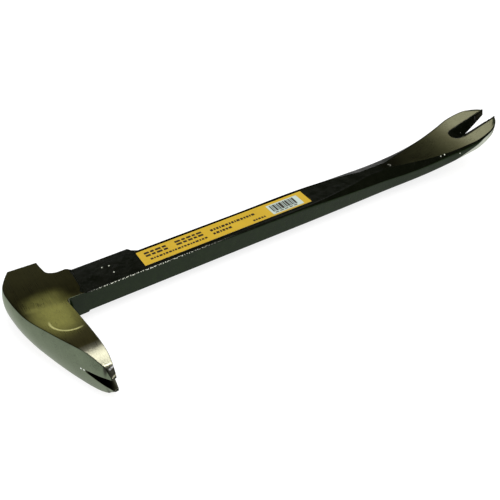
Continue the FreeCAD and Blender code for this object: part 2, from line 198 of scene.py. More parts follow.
def smooth(table, places):
    """Values at places on a smooth curve through a table whose first column rises."""
    table = np.asarray(table, float)
    knots, values = table[:, 0], table[:, 1:]
    slopes = np.gradient(values, knots, axis=0)
    places = np.clip(np.asarray(places, float), knots[0], knots[-1])
    index = np.clip(np.searchsorted(knots, places, side="right") - 1, 0, len(knots) - 2)
    span = (knots[index + 1] - knots[index])[:, None]
    t = (places - knots[index])[:, None] / span
    return ((1 + 2 * t) * (1 - t) ** 2 * values[index] + t * (1 - t) ** 2 * span * slopes[index]
            + t * t * (3 - 2 * t) * values[index + 1]
            - t * t * (1 - t) * span * slopes[index + 1])


def path(points, shares):
    """Points at shares of the way along a smooth curve through the given ones."""
    points = np.asarray(points, float)
    way = np.concatenate([[0.0], np.cumsum(np.linalg.norm(np.diff(points, axis=0), axis=1))])
    return smooth(np.column_stack([way / way[-1], points]), shares)


def run(start, end, count):
    """Points between two rows of points, without the ends."""
    t = (np.arange(1, count + 1) / (count + 1))[None, :, None]
    return start[:, None] * (1 - t) + end[:, None] * t


def turn(start, corner, end, count=5):
    """Points round a corner, with the ends."""
    t = np.linspace(0.0, 1.0, count)[None, :, None]
    return ((1 - t) ** 2 * start[:, None] + 2 * t * (1 - t) * corner[:, None]
            + t * t * end[:, None])


def rounded(corners, radii, counts):
    """A chain of points along each row of corners, with the inner corners rounded off."""
    steps = np.diff(corners, axis=1)
    lengths = np.linalg.norm(steps, axis=2)
    units = steps / np.maximum(lengths, 1e-9)[:, :, None]
    leave = corners[:, 0]
    pieces = [corners[:, :1]]
    for k in range(1, corners.shape[1] - 1):
        cut = np.minimum(radii[k - 1], 0.45 * np.minimum(lengths[:, k - 1], lengths[:, k]))
        arrive = corners[:, k] - units[:, k - 1] * cut[:, None]
        after = corners[:, k] + units[:, k] * cut[:, None]
        pieces += [run(leave, arrive, counts[k - 1]), turn(arrive, corners[:, k], after)]
        leave = after
    pieces += [run(leave, corners[:, -1], counts[-1]), corners[:, -1:]]
    return np.concatenate(pieces, axis=1)


def zones(counts, turns=5):
    """For each point of a rounded chain, the number of the side it lies on."""
    marks = [0.0]
    for k, count in enumerate(counts):
        marks += [float(k)] * count
        if k < len(counts) - 1:
            marks += list(k + np.linspace(0.0, 1.0, turns))
    return np.array(marks + [len(counts) - 1.0])


def skin(rings, chain, slot_from):
    """Quads over rings of points, which close into loops where the slot has begun."""
    rows, columns = rings.shape[:2]
    faces = []
    for row in range(rows - 1):
        for column in range(columns if row >= slot_from else chain - 1):
            after = (column + 1) % columns
            faces.append((row * columns + column, (row + 1) * columns + column,
                          (row + 1) * columns + after, row * columns + after))
    return rings.reshape(-1, 3), faces


def mesh_object(name, parts, materials):
    """One closed mesh from parts given as points in drawing millimetres and faces."""
    bm = bmesh.new()
    for points, faces in parts:
        corners = [bm.verts.new(p) for p in points]
        for face in faces:
            bm.faces.new([corners[i] for i in face])
    bmesh.ops.remove_doubles(bm, verts=bm.verts, dist=MERGE_GAP)
    bmesh.ops.dissolve_degenerate(bm, edges=bm.edges, dist=SLIVER)
    bmesh.ops.delete(bm, geom=[v for v in bm.verts if not v.link_faces], context="VERTS")
    bmesh.ops.holes_fill(bm, edges=[e for e in bm.edges if e.is_boundary], sides=0)
    bmesh.ops.triangulate(bm, faces=[f for f in bm.faces if len(f.verts) > 4])
    bmesh.ops.recalc_face_normals(bm, faces=bm.faces)
    if bm.calc_volume(signed=True) < 0.0:
        bmesh.ops.reverse_faces(bm, faces=bm.faces)
    for vert in bm.verts:
        vert.co = (vert.co + Vector(ORIGIN)) * MM
    mesh = bpy.data.meshes.new(name)
    bm.to_mesh(mesh)
    bm.free()
    for material in materials:
        mesh.materials.append(material)
    mesh.polygons.foreach_set("use_smooth", [True] * len(mesh.polygons))
    thing = bpy.data.objects.new(name, mesh)
    bpy.context.scene.collection.objects.link(thing)
    return thing


def even_normals(thing):
    """Keeps the broad faces flat right up to their rounded edges."""
    modifier = thing.modifiers.new("even", "WEIGHTED_NORMAL")
    modifier.weight = 100


# ---------------------------------------------------------------- shank and tail

# How many points a section has on each side from the top flat on, on the slot's wall, and
# round the brim between the two
SIDE_COUNTS = [16, 5, 9, 5, 12]
WALL_COUNT = 10
BRIM_COUNT = 4
STEEL_START = 29.0
STEEL_END = 304.45


def slot_half(x, share):
    """Half width of the tail's nail slot at X, with share going from its base to its top."""
    end, radius, mouth = [low + (high - low) * share for low, high in zip(SLOT_BASE, SLOT_TOP)]
    middle = end + radius
    ends = np.sqrt(np.clip(radius ** 2 - (x - middle) ** 2, 0.0, None))
    straight = radius + (mouth - radius) * (x - middle) / (TAIL_MOUTH_X - middle)
    return np.where(x <= end, 0.0, np.where(x < middle, ends, straight))


def shank_sizes(x, far):
    """Section sizes at X, on the far side with the wide neck, trimmed to the tail's plan."""
    sizes = smooth(STATIONS, x)
    if far:
        share = ease((NECK_END + NECK_BEVEL - x) / NECK_BEVEL)[:, None]
        sizes = sizes * (1 - share) + share * np.array(NECK)
    slot = slot_half(x, 1.0)
    plan = np.where(x < TAIL_PLAN[0][0], np.inf, smooth(TAIL_PLAN, x)[:, 0])
    extra = np.clip(sizes[:, 1] - plan, 0.0, None)
    room = np.maximum(sizes[:, 1] - extra - slot, 0.05)
    for column in (0, 1, 6):
        sizes[:, column] -= extra
    sizes[:, 1] = np.maximum(sizes[:, 1], slot + 0.05)
    for column in (0, 6):
        sizes[:, column] = np.maximum(sizes[:, column], slot + 0.3 * room)
    return sizes


def shank_chain(x, far, collar=0.0):
    """Half sections of the shank as rows of Y and Z: slot wall, top, side and bottom."""
    sizes = shank_sizes(x, far)
    wide = ease((COLLAR_END - x) / COLLAR_FADE)[:, None] * collar
    sizes = sizes + wide * np.array(COLLAR)
    flat, side, top, shoulder, hip, bottom, base = sizes.T
    first = np.clip((SLOT_BASE[0] - x) / (SLOT_BASE[0] - SLOT_TOP[0]), 0.0, 1.0)
    low = slot_half(x, 0.0)
    wall = []
    for step in np.linspace(0.0, 1.0, WALL_COUNT):
        share = first + (1.0 - first) * step ** 2
        wall.append(np.column_stack([slot_half(x, share), bottom + (top - bottom) * share]))
    corners = np.stack([wall[-1]] + [np.column_stack(c) for c in (
        (flat, top), (side, shoulder), (side, hip), (base, bottom), (low, bottom))], axis=1)
    body = rounded(corners, [SHANK_EDGE, 0.8, 0.8, SHANK_EDGE], SIDE_COUNTS)
    brim = np.minimum(SLOT_EDGE, 0.3 * wall[-1][:, :1])
    before = wall[-1] + (wall[-2] - wall[-1]) * brim
    after = wall[-1] + np.array([1.0, 0.0]) * brim
    return np.concatenate([np.stack(wall[:-1], axis=1), turn(before, wall[-1], after, BRIM_COUNT),
                           body[:, 1:]], axis=1)


def side_zones():
    """For each point of a half section, the side it lies on, from the slot wall at -1."""
    return np.concatenate([np.full(WALL_COUNT - 1, -1.0), np.linspace(-1.0, 0.0, BRIM_COUNT),
                           zones(SIDE_COUNTS)[1:]])


def outward(chain):
    """Unit directions out of each half section."""
    along = np.gradient(chain, axis=1)
    out = np.stack([-along[:, :, 1], along[:, :, 0]], axis=2)
    length = np.linalg.norm(out, axis=2, keepdims=True)
    upright = np.zeros_like(out)
    upright[:, :, 1] = 1.0
    return np.where(length > 1e-6, out / np.maximum(length, 1e-9), upright)


def half_shank(x, far, offset, collar=0.0):
    """Rings of one half of the shank, moved out by an offset for each point."""
    chain = shank_chain(x, far, collar)
    open_slot = x > SLOT_BASE[0]
    middle = chain[:, :, 0] < 1e-6
    chain = chain + outward(chain) * offset[:, :, None]
    chain[:, :, 0] = np.where(middle, 0.0, np.maximum(chain[:, :, 0], 0.0))
    chain[open_slot, 0] = chain[open_slot, -1]
    chain[:, :, 0] *= 1.0 if far else -1.0
    along = np.broadcast_to(x[:, None, None], chain.shape[:2] + (1,))
    return skin(np.concatenate([along, chain], axis=2), chain.shape[1], len(x))


def tail_places(last):
    """Places along the tail, close together round the ends of the slot and at the tips."""
    reach = np.linspace(0.0, 1.0, 14) ** 2
    trough = SLOT_TOP[0] + (SLOT_BASE[0] - SLOT_TOP[0]) * np.concatenate(
        [0.45 * reach, np.linspace(0.45, 1.0, 12)[1:]])
    apex = SLOT_BASE[0] + np.array([0.02, 0.08, 0.2, 0.4, 0.7, 1.2])
    tips = last - (last - apex[-1]) * np.linspace(1.0, 0.0, 28)[1:] ** 1.5
    return np.concatenate([np.arange(176.0, SLOT_TOP[0] - 0.4, 1.2), trough, apex, tips])


def steel_shank():
    x = np.concatenate([[STEEL_START, 34.0], np.arange(38.0, 175.0, 6.0), tail_places(STEEL_END)])
    inset = np.where(x < 180.0, -0.1, 0.0)[:, None]
    offset = np.repeat(inset, len(side_zones()), axis=1)
    return [half_shank(x, far, offset) for far in (True, False)]


# ---------------------------------------------------------------- head

def back_x(y):
    return smooth(HEAD_BACK, y)[:, 0]


def dish(x, y):
    """Depth of the hollow ground in the cheek, which ends at a curved rim."""
    rim = path(DISH_RIM, np.linspace(0.0, 1.0, 80))
    places = np.column_stack([x, y])
    gap = places[:, None] - rim[None]
    nearest = np.argmin(np.linalg.norm(gap, axis=2), axis=1)
    gap = gap[np.arange(len(x)), nearest]
    along = np.gradient(rim, axis=0)[nearest]
    side = np.sign(along[:, 0] * gap[:, 1] - along[:, 1] * gap[:, 0])
    inside = np.clip(np.linalg.norm(gap, axis=1) * side, 0.0, None)
    fade = ease((4.0 - y) / 14.0) * (0.35 + 0.65 * ease((25.5 - x) / 5.0))
    return DISH_DEPTH * (1.0 - np.exp(-inside / DISH_WIDTH)) * fade


def cheek(plan):
    """Height of the upper cheek over points of the plan."""
    x, y = plan[..., 0].ravel(), plan[..., 1].ravel()
    low, high = CHEEK_TAPER_Y
    taper = CHEEK_TAPER * ease((y - low) / (high - low)) * np.clip(x, 0.0, None) / HEAD_END
    height = smooth(CHEEK, y)[:, 0] - taper - dish(x, y)
    height = np.minimum(height, FACET_Z + FACET_SLOPE * (y - FACET_Y))
    return height.reshape(plan.shape[:-1])


def head_slot(x, y):
    """Half width of the nail slot in the head claw."""
    into = HEAD_SLOT_END - y
    half = HEAD_SLOT_ROOT + SLOT_WEDGE * np.clip(into - 1.0, 0.0, None)
    half = half + HEAD_SLOT_FLARE * ((x - HEAD_SLOT_X) / HEAD_SLOT_SPAN - 0.5)
    return half * np.sqrt(np.clip(1.0 - np.clip(1.0 - into, 0.0, 1.0) ** 2, 0.0, 1.0))


def head_stations():
    """Where each ring of the head crosses its back, its inner side, and its bevel."""
    fine = np.array([0.0, 0.004, 0.03, 0.04])
    bevel = [0.75, 0.6, 0.08, 0.0]
    shares = np.concatenate([fine, np.linspace(0.07, 1.0, 22)])
    inner = [path(POLL_NECK, shares)]
    back = [np.concatenate([POLL_FACE_Y - 20.0 * fine, np.linspace(23.8, 8.0, 22)])]
    corner, root = (HEAD_END, NECK_SIDE), (HEAD_END, -SHANK_SIDE)
    stretches = [(POLL_NECK[-1], corner, 8.0, 7.2, 3), (corner, root, 7.2, -3.5, 20),
                 (root, (HEAD_INNER[0][0] + ROOT_RADIUS, -SHANK_SIDE), -3.5, -7.0, 9)]
    for start, end, back_start, back_end, count in stretches:
        t = np.linspace(0.0, 1.0, count + 1)[1:]
        inner.append(np.outer(1 - t, start) + np.outer(t, end))
        back.append(back_start + (back_end - back_start) * t)
    angle = np.linspace(0.0, math.pi / 2, 7)[1:]
    inner.append(np.column_stack([HEAD_INNER[0][0] + ROOT_RADIUS * (1 - np.sin(angle)),
                                  -SHANK_SIDE - ROOT_RADIUS * (1 - np.cos(angle))]))
    back.append(np.linspace(-7.0, -9.6, 7)[1:])
    slot_share = (HEAD_INNER[0][1] - HEAD_SLOT_END) / (HEAD_INNER[0][1] - HEAD_INNER[-1][1])
    shares = np.concatenate([np.linspace(0.0, slot_share, 62)[1:],
                             slot_share + np.array([0.06, 0.25, 0.55, 0.95]) / 50.0,
                             np.linspace(slot_share + 0.03, 1.0, 24)])
    inner.append(path(HEAD_INNER, shares))
    back.append(HEAD_INNER[0][1] + (HEAD_BACK[0][0] - HEAD_INNER[0][1]) * shares)
    back, inner = np.concatenate(back), np.concatenate(inner)
    inset = np.zeros(len(back))
    inset[:len(bevel)] = bevel
    return back, inner, inset


def half_head(sign):
    """Rings of one half of the head, above or below its mid plane."""
    back_y, inner, inset = head_stations()
    back = np.column_stack([back_x(back_y), back_y])
    slope = (back_x(back_y + 0.05) - back_x(back_y - 0.05)) / 0.1
    out = np.column_stack([-np.ones_like(slope), slope]) / np.hypot(1.0, slope)[:, None]
    out[:, 1] *= ease((POLL_FACE_Y - back_y) / 4.0)
    along = inner - back
    along /= np.linalg.norm(along, axis=1, keepdims=True)
    back = back + along * inset[:, None]
    inner = inner - along * inset[:, None]
    back_t, inner_t = cheek(back) - inset, cheek(inner) - inset
    back_w, inner_w = head_slot(back[:, 0], back_y), head_slot(inner[:, 0], back_y)
    lip = np.minimum(0.25, 0.6 * back_w)

    def at(plan, height):
        return np.column_stack([plan, height])

    def on_back(height):
        bulge = HEAD_CROWN * (1.0 - (height / np.maximum(back_t, CROWN_SPAN)) ** 2)
        return at(back + out * bulge[:, None], height)

    steps = np.linspace(0.0, 1.0, 12)
    column = np.stack([on_back(back_w + lip + (back_t - HEAD_EDGE - back_w - lip) * s)
                       for s in steps], axis=1)
    start, end = back + along * HEAD_EDGE, inner - along * HEAD_EDGE
    plan = np.concatenate([start[:, None], run(start, end, 46), end[:, None]], axis=1)
    top = np.concatenate([plan, (cheek(plan) - inset[:, None])[:, :, None]], axis=2)
    mouth = on_back(back_w)
    inner_top = at(inner, inner_t - HEAD_EDGE)
    inner_low = at(inner, inner_w + lip)
    pieces = [turn(mouth + at(along, 0 * lip) * lip[:, None], mouth, column[:, 0], 4),
              column[:, 1:-1],
              turn(column[:, -1], at(back, back_t), top[:, 0]), top[:, 1:-1],
              turn(top[:, -1], at(inner, inner_t), inner_top), run(inner_top, inner_low, 8),
              turn(inner_low, at(inner, inner_w),
                   at(inner - along * lip[:, None], inner_w), 4)]
    chain = np.concatenate(pieces, axis=1)
    rings = np.concatenate([chain, run(chain[:, -1], chain[:, 0], 6)], axis=1)
    nose = rings[-1].mean(axis=0)
    shrink = nose + (rings[-1] - nose) * 0.7 + np.array([0.1, -0.5, 0.0])
    rings = np.concatenate([rings, shrink[None]], axis=0)
    rings[:, :, 2] *= sign
    slot_from = int(np.argmax(back_y < HEAD_SLOT_END)) - 1
    return skin(rings, chain.shape[1], slot_from)


def in_order(mesh):
    """A bmesh of a mesh with its points and faces ordered by place.

    The union's own order changes from run to run, and the clean-up after it follows that order.
    """
    points = np.array([vert.co for vert in mesh.vertices])
    order = np.lexsort(points.T)
    rank = np.argsort(order).tolist()
    faces = [[rank[i] for i in polygon.vertices] for polygon in mesh.polygons]
    bm = bmesh.new()
    verts = [bm.verts.new(point) for point in points[order]]
    for corners in sorted(faces, key=sorted):
        bm.faces.new([verts[i] for i in corners])
    return bm


def join_solid(base, other):
    """Unites two closed meshes into one."""
    modifier = base.modifiers.new("join", "BOOLEAN")
    modifier.operation = "UNION"
    modifier.solver = "EXACT"
    modifier.object = other
    depsgraph = bpy.context.evaluated_depsgraph_get()
    united = bpy.data.meshes.new_from_object(base.evaluated_get(depsgraph))
    base.modifiers.clear()
    base.data = united
    bpy.data.objects.remove(other)
    seams = in_order(united)
    bmesh.ops.remove_doubles(seams, verts=seams.verts, dist=MERGE_GAP * MM)
    bmesh.ops.holes_fill(seams, edges=seams.edges)
    bmesh.ops.triangulate(seams, faces=[face for face in seams.faces if len(face.verts) > 4])
    seams.to_mesh(united)
    seams.free()
    united.polygons.foreach_set("use_smooth", [True] * len(united.polygons))


# ---------------------------------------------------------------- enamel

def enamel_offset(x):
    """How far the paint stands off the steel at each point; under zero it is bare."""
    zone = side_zones()[None, :]
    along = x[:, None]
    brim = np.where(along > SLOT_TOP[0], ease((zone + 0.14) / 0.12), 1.0)
    on_top = ease((0.25 - zone) / 0.2) * brim
    below = ease((zone - 2.35) / 0.3)
    beside = ease((zone - 1.35) / 0.3)
    first, last = np.argmax(zone > 1.5), np.argmax(zone > 2.5)
    down = np.clip((np.arange(zone.size)[None, :] - first) / (last - first), 0.0, 1.0)
    bare = on_top * ease((along - TONGUE_START) / 1.6)
    bare = np.maximum(bare, below * ease((along - UNDERSIDE_BARE) / 4.0))
    bare = np.maximum(bare, beside * ease((along - SIDE_BARE + SIDE_SLANT * down) / 3.0))
    bare = np.maximum(bare, ease((along - PAINT_TO + 3.0) / 2.5) * np.ones_like(zone))
    return PAINT_T - (PAINT_T + PAINT_DIP) * bare


def enamel_parts():
    x = np.concatenate([[PAINT_FROM, 27.0, 30.0], np.arange(32.5, 34.4, 0.2),
                        np.arange(35.0, 62.0, 1.5),
                        np.arange(62.3, 66.4, 0.35), np.arange(67.0, 175.5, 1.5),
                        tail_places(PAINT_TO)])
    return [half_shank(x, far, enamel_offset(x), 1.0) for far in (True, False)]


# ---------------------------------------------------------------- materials

NOISE_SHIFT = (7.3, 3.7, 5.1)


class Finish:
    """A material, built up in a few words; its places are in drawing millimetres."""

    def __init__(self, name, metallic, roughness, specular=0.5):
        self.material = bpy.data.materials.new(name)
        self.material.use_nodes = True
        self.tree = self.material.node_tree
        self.shader = self.tree.nodes["Principled BSDF"]
        self.set("Metallic", metallic)
        self.set("Roughness", roughness)
        self.set("Specular IOR Level", specular)
        metres = self.node("ShaderNodeTexCoord").outputs["Object"]
        self.place = self.vector("MULTIPLY_ADD", metres, (1 / MM,) * 3, tuple(-ORIGIN))
        self.x, self.y, self.z = self.split(self.place)
        self.normal = None

    def node(self, kind, **settings):
        made = self.tree.nodes.new(kind)
        for key, value in settings.items():
            setattr(made, key, value)
        return made

    def put(self, value, socket):
        if isinstance(value, bpy.types.NodeSocket):
            self.tree.links.new(value, socket)
        else:
            socket.default_value = value

    def set(self, name, value):
        self.put(value, self.shader.inputs[name])

    def split(self, vector):
        made = self.node("ShaderNodeSeparateXYZ")
        self.put(vector, made.inputs[0])
        return made.outputs[:]

    def math(self, operation, *values):
        made = self.node("ShaderNodeMath", operation=operation)
        for value, socket in zip(values, made.inputs):
            self.put(value, socket)
        return made.outputs[0]

    def vector(self, operation, *values):
        made = self.node("ShaderNodeVectorMath", operation=operation)
        for value, socket in zip(values, made.inputs):
            self.put(value, socket)
        return made.outputs["Value" if operation == "LENGTH" else "Vector"]

    def between(self, value, low, high, start=0.0, end=1.0):
        """Eases from start to end as the value goes from low to high."""
        made = self.node("ShaderNodeMapRange", interpolation_type="SMOOTHSTEP")
        for item, socket in zip((value, low, high, start, end), made.inputs):
            self.put(item, socket)
        return made.outputs[0]

    def within(self, value, start, full, fading, end):
        """One from full to fading, easing to nothing at start and end."""
        return self.math("MULTIPLY", self.between(value, start, full),
                         self.between(value, end, fading))

    def noise(self, scale, detail=3.0, stretch=(1.0, 1.0, 1.0)):
        made = self.node("ShaderNodeTexNoise")
        spot = self.vector("MULTIPLY_ADD", self.place, stretch, NOISE_SHIFT)
        self.put(spot, made.inputs["Vector"])
        self.put(scale, made.inputs["Scale"])
        self.put(detail, made.inputs["Detail"])
        return made.outputs["Fac"]

    def mix(self, share, first, second):
        made = self.node("ShaderNodeMix", data_type="RGBA")
        self.put(share, made.inputs["Factor"])
        for value, socket in zip((first, second), made.inputs[6:8]):
            self.put((*value, 1.0) if isinstance(value, tuple) else value, socket)
        return made.outputs[2]

    def scaled(self, colour, factor):
        """A colour made lighter or darker by a factor."""
        made = self.node("ShaderNodeVectorMath", operation="SCALE")
        self.put(colour, made.inputs[0])
        self.put(factor, made.inputs["Scale"])
        return made.outputs[0]

    def bump(self, height, depth):
        """Adds relief whose full range is depth, in millimetres."""
        made = self.node("ShaderNodeBump")
        self.put(height, made.inputs["Height"])
        self.put(depth * MM, made.inputs["Distance"])
        if self.normal is not None:
            self.put(self.normal, made.inputs["Normal"])
        self.normal = made.outputs[0]
        self.set("Normal", self.normal)

    def near(self, spot, inner, outer):
        """One within inner millimetres of a spot, falling to nothing at outer."""
        away = self.vector("LENGTH", self.vector("SUBTRACT", self.place, spot))
        return self.between(away, inner, outer, 1.0, 0.0)

    def ring(self, middle, radius, inner, outer):
        """One on a circle in plan, falling to nothing at outer millimetres from it."""
        gap = self.vector("SUBTRACT", self.place, (*middle, 0.0))
        away = self.vector("LENGTH", self.vector("MULTIPLY", gap, (1.0, 1.0, 0.0)))
        away = self.math("ABSOLUTE", self.math("SUBTRACT", away, radius))
        return self.between(away, inner, outer, 1.0, 0.0)

    def tip_bevel_shade(self):
        """One on the strip round the outer edge of the tail's tips, where shade standing for a
        bevel is painted.
        """
        start, width, slope, curve = TIP_CURVE
        past = self.math("SUBTRACT", self.x, start)
        edge = self.math("MULTIPLY_ADD", past, curve, slope)
        edge = self.math("MULTIPLY_ADD", edge, past, width)
        room = self.math("SUBTRACT", edge, self.math("ABSOLUTE", self.y))
        return self.math("MULTIPLY", self.between(room, *TIP_ROOM, 1.0, 0.0),
                         self.between(self.x, *TIP_X))

    def slot_shade(self, steep):
        """One on the walls of both nail slots and on the near lip of the tail's, where shade is
        painted.
        """
        start = (SLOT_WEDGE * (HEAD_SLOT_END - 1.0) + HEAD_SLOT_ROOT
                 - HEAD_SLOT_FLARE * (HEAD_SLOT_X / HEAD_SLOT_SPAN + 0.5))
        half = self.math("MULTIPLY_ADD", self.y, -SLOT_WEDGE, start)
        half = self.math("MULTIPLY_ADD", self.x, HEAD_SLOT_FLARE / HEAD_SLOT_SPAN, half)
        inside = self.math("SUBTRACT", self.math("ABSOLUTE", self.z), half)
        head = self.math("MULTIPLY", self.between(inside, 0.05, 0.25, 1.0, 0.0),
                         self.between(self.y, HEAD_SLOT_END + 0.3, HEAD_SLOT_END))
        tail = self.between(self.math("ABSOLUTE", self.y), *SLOT_SHADE_Y, 1.0, 0.0)
        tail = self.math("MULTIPLY", tail, self.between(self.x, *SLOT_SHADE_X))
        # Painted shade on the tail slot's near lip
        lip = self.math("MULTIPLY", self.within(self.y, *LIP_SHADE_Y), self.between(self.x, *LIP_SHADE_X))
        tail = self.math("MAXIMUM", self.math("MULTIPLY", tail, steep), lip)
        return self.math("MAXIMUM", head, tail)

    def near_edge_highlight(self):
        """One along the worn stretch of the shank's near upper edge, whose bright wear is also a
        painted highlight.
        """
        edge_y, edge_z = WORN_HIGHLIGHT_YZ
        off = self.math("ABSOLUTE", self.math("SUBTRACT", self.z, edge_z))
        high = self.between(off, 0.08, 0.28, 1.0, 0.0)
        out = self.between(self.y, edge_y, edge_y - 0.2)
        worn = self.within(self.x, *WORN_HIGHLIGHT_X)
        return self.math("MULTIPLY", self.math("MULTIPLY", high, out), worn)


def cheek_tint_and_light(f):
    """Brown tints of the cheeks, pale at the claw, with painted reflections and a painted
    highlight in the hollow.
    """
    # Painted reflection: an olive glow in the cheek's hollow, and above it a paler one
    spot = f.vector("MULTIPLY", f.vector("SUBTRACT", f.place, (*GLOW_REFLECTION[0], 0.0)),
                    (1 / GLOW_REFLECTION[1][0], 1 / GLOW_REFLECTION[1][1], 0.0))
    glow = f.between(f.vector("LENGTH", spot), 1.15, 0.25)
    brown = f.mix(f.between(f.y, -8.0, -24.0), (0.037, 0.034, 0.011), (0.060, 0.053, 0.018))
    tint = f.mix(glow, brown, (0.33, 0.32, 0.085))
    upper = f.math("MULTIPLY", f.within(f.x, *UPPER_REFLECTION_X), f.within(f.y, *UPPER_REFLECTION_Y))
    tint = f.mix(upper, tint, (0.50, 0.485, 0.145))
    # Painted highlight: a bright arc on the hollow's lower rim
    rim = f.math("MULTIPLY", f.ring(*RIM_HIGHLIGHT, 0.05, 0.75), f.between(f.y, -18.5, -22.0))
    rim = f.math("MULTIPLY", rim, f.between(f.x, 24.5, 20.5))
    tint = f.mix(rim, tint, (0.80, 0.78, 0.32))
    return f.mix(f.between(f.y, -42.5, -47.0), tint, (0.42, 0.41, 0.30))


def tongue_tint_and_light(f):
    """Tint of the tongue, dark at its point and paler towards the tips, with painted shade round
    the tips' outer edge and a painted highlight at the tongue's start.
    """
    tongue = TONGUE_TINT
    for start, end, later in TONGUE_TINTS:
        tongue = f.mix(f.between(f.x, start, end), tongue, later)
    # Painted shade on a strip round the tips' outer edge, standing for a bevel
    tongue = f.mix(f.tip_bevel_shade(), tongue, (0.035, 0.04, 0.02))
    # Painted highlight: a bright ring at the tongue's start
    highlight_mark = f.math("MULTIPLY", f.ring(*TONGUE_HIGHLIGHT, 0.1, 0.5), f.between(f.x, 224.0, 225.0))
    return f.mix(highlight_mark, tongue, (0.9, 0.9, 0.8))


def ground_steel():
    """Belt-ground and lacquered steel, brown on the broad faces, with painted reflections,
    highlights and shade.
    """
    f = Finish("ground steel", 1.0, 0.25)
    f.set("Specular Tint", (0.84, 0.87, 0.79, 1.0))
    tail = f.between(f.x, 100.0, 110.0)
    along_y = f.noise(1.0, 4.0, (3.2, 0.10, 3.2))
    along_x = f.noise(1.0, 4.0, (0.08, 3.4, 3.4))
    lines = f.math("ADD", f.math("MULTIPLY", along_x, tail),
                   f.math("MULTIPLY", along_y, f.math("SUBTRACT", 1.0, tail)))
    blotch = f.noise(0.12, 3.0)
    facing = f.split(f.node("ShaderNodeNewGeometry").outputs["Normal"])
    up = f.between(f.math("ABSOLUTE", facing[2]), 0.62, 0.86)
    tint = f.mix(tail, cheek_tint_and_light(f), tongue_tint_and_light(f))
    side = f.mix(tail, (0.106, 0.130, 0.086), (0.38, 0.40, 0.34))
    side = f.mix(f.between(facing[0], 0.15, 0.4), side, (0.085, 0.085, 0.05))
    # Painted shade: the claw's tip facet made darker
    facet = f.math("MULTIPLY", f.between(facing[1], -0.45, -0.6), f.between(f.y, -55.5, -56.5))
    side = f.mix(facet, side, (0.03, 0.032, 0.024))
    colour = f.mix(up, side, tint)
    # Painted highlights: white glints
    for *spot, reach in GLINTS:
        colour = f.mix(f.near(spot, 0.2, reach), colour, (1.0, 1.0, 1.0))
    # Painted shade on the walls of both slots and on the tail slot's near lip
    colour = f.mix(f.slot_shade(f.math("SUBTRACT", 1.0, up)), colour, (0.014, 0.014, 0.008))
    shade = f.math("ADD", f.math("MULTIPLY", blotch, 0.7), f.math("MULTIPLY", lines, 0.90))
    f.set("Base Color", f.scaled(colour, f.math("ADD", shade, 0.20)))
    rough = f.math("ADD", f.math("MULTIPLY", lines, 0.12), f.math("MULTIPLY", blotch, 0.10))
    f.set("Roughness", f.math("ADD", rough, 0.19))
    f.bump(lines, 0.008)
    f.bump(f.noise(0.35, 2.0), 0.02)
    return f.material


def black_enamel():
    """Thick glossy paint over the skin of a forging, chipped along its upper edges; the bright
    wear and a few bright spots are painted highlights, and the sides have a painted greenish
    reflection.
    """
    f = Finish("black enamel", 0.0, 0.15, 0.13)
    blotch = f.noise(0.2, 3.0)
    facing = f.split(f.node("ShaderNodeNewGeometry").outputs["Normal"])
    upright = f.between(f.math("ABSOLUTE", facing[2]), 0.6, 0.3)
    upright = f.math("MULTIPLY", upright, f.between(f.math("ABSOLUTE", f.y), 5.5, 6.5))
    colour = f.mix(blotch, (0.0013, 0.0018, 0.0008), (0.0036, 0.0045, 0.0019))
    # Painted reflection: the upright sides given a greenish colour
    green = f.mix(f.noise(0.33, 3.0), (0.0018, 0.0075, 0.0006), (0.0095, 0.0190, 0.0038))
    colour = f.mix(upright, colour, green)
    speck = f.noise(1.5, 3.0)
    # Bright wear along the near edge, which is also a painted highlight
    chips_and_highlights = f.math("MULTIPLY", f.near_edge_highlight(), f.between(speck, 0.48, 0.58))
    # Painted highlights: small bright spots
    for spot in HIGHLIGHT_CHIPS:
        highlight_mark = f.math("MULTIPLY", f.near(spot, 0.1, 0.6), f.between(speck, 0.36, 0.52))
        chips_and_highlights = f.math("MAXIMUM", chips_and_highlights, highlight_mark)
    f.set("Base Color", f.mix(chips_and_highlights, colour, (0.72, 0.74, 0.62)))
    gloss = f.between(blotch, 0.3, 0.7, 0.13, 0.24)
    away = f.math("MULTIPLY", f.between(facing[1], 0.25, 0.5), f.between(facing[2], 0.1, 0.3))
    f.set("Roughness", f.math("MULTIPLY_ADD", away, 0.4, gloss))
    f.bump(f.noise(0.22, 2.0), 0.10)
    f.bump(f.noise(1.1, 3.0), 0.014)
    f.bump(f.between(f.noise(0.9, 1.0), 0.66, 0.78), 0.04)
    return f.material


def yellow_film():
    """Satin printed film, faintly mottled by the skin under it."""
    f = Finish("yellow film", 0.0, 0.34, 0.35)
    colour = f.mix(f.noise(0.09, 3.0), (0.44, 0.278, 0.010), (0.51, 0.335, 0.020))
    f.set("Base Color", colour)
    f.set("Roughness", f.between(f.noise(0.5), 0.3, 0.7, 0.28, 0.42))
    f.bump(f.noise(0.18, 2.0), 0.03)
    f.bump(f.noise(2.5, 2.0), 0.003)
    return f.material


def printed(name, dark, light, roughness):
    """Ink laid on the film, slightly uneven in cover."""
    f = Finish(name, 0.0, roughness, 0.3)
    f.set("Base Color", f.mix(f.noise(2.2, 4.0), dark, light))
    f.bump(f.noise(3.0, 2.0), 0.004)
    return f.material


# ---------------------------------------------------------------- print

def greeked_print(low, high):
    """Rows of short strokes that stand in for the printed words."""
    points, faces = [], []
    for start, end, foot, height, stroke, gap, tiers in PRINT_ROWS:
        x = start
        for width in stroke:
            if x + width > end:
                break
            for tier in range(tiers):
                tall = height / (1.0 + TIER_STEP * (tiers - 1))
                y = foot + tier * TIER_STEP * tall
                base = len(points)
                corners = [(x, y), (x + width, y), (x + width, y + tall), (x, y + tall)]
                points += [(*corner, z) for z in (low, high) for corner in corners]
                faces += [tuple(base + i for i in face) for face in BLOCK_FACES]
            x += width + gap
    return points, faces


